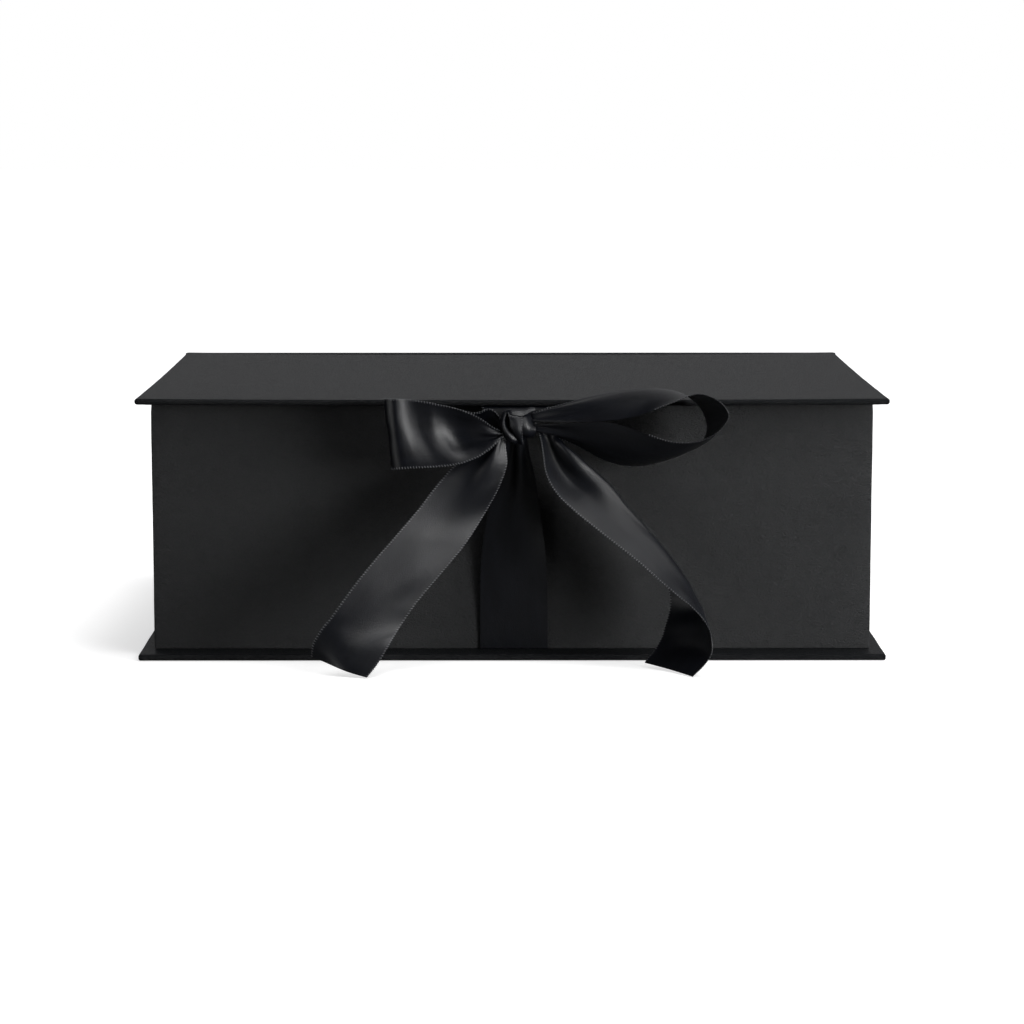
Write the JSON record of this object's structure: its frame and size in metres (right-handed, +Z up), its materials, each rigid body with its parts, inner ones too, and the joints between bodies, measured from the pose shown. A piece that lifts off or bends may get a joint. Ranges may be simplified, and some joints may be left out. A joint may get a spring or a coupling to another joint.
{
  "type": "gift box",
  "caption": "Book-style rigid gift box with a hinged lid that overhangs its tray, closed by a satin ribbon tied in a bow at the front.",
  "frame": {"origin": "centre of the base panel's underside, on the table", "axes": "+Z up, +X to the right along the long side, the front with the bow faces -Y"},
  "size_m": [0.28, 0.2364, 0.1018],
  "materials": {
    "wrap_paper": "matt black wrapping paper with a fine crinkle",
    "lining_paper": "smooth matt black paper",
    "greyboard": "raw greyboard, sealed inside the paper",
    "corner_tape": "kraft paper tape, sealed inside the paper",
    "satin_ribbon": "black satin with woven edges"
  },
  "bodies": {
    "base": {"spine_board": "greyboard", "base_board": "greyboard", "tray_front_board": "greyboard", "tray_back_board": "greyboard", "tray_left_board": "greyboard", "tray_right_board": "greyboard", "tray_floor_board": "greyboard", "spine_wrap": "wrap_paper", "base_wrap": "wrap_paper", "hinge_wrap": "wrap_paper", "tray_wrap": "wrap_paper", "hinge_lining": "lining_paper", "tray_floor_lining": "lining_paper", "corner_stay_front_left": "corner_tape", "corner_stay_front_right": "corner_tape", "corner_stay_back_left": "corner_tape", "corner_stay_back_right": "corner_tape", "base_ribbon_anchor": "satin_ribbon", "base_ribbon_band": "satin_ribbon", "bow_knot": "satin_ribbon", "bow_left_loop": "satin_ribbon", "bow_right_loop": "satin_ribbon", "bow_left_tail": "satin_ribbon", "bow_right_tail": "satin_ribbon"},
    "lid": {"lid_board": "greyboard", "lid_wrap": "wrap_paper", "lid_lining": "lining_paper", "lid_ribbon": "satin_ribbon"}
  },
  "joints": [
    {"name": "lid_hinge", "type": "hinge", "parent": "base", "child": "lid", "pos_m": [0, 0.1, 0.0957], "axis": [-1, 0, 0], "range_deg": [0, 205]}
  ]
}
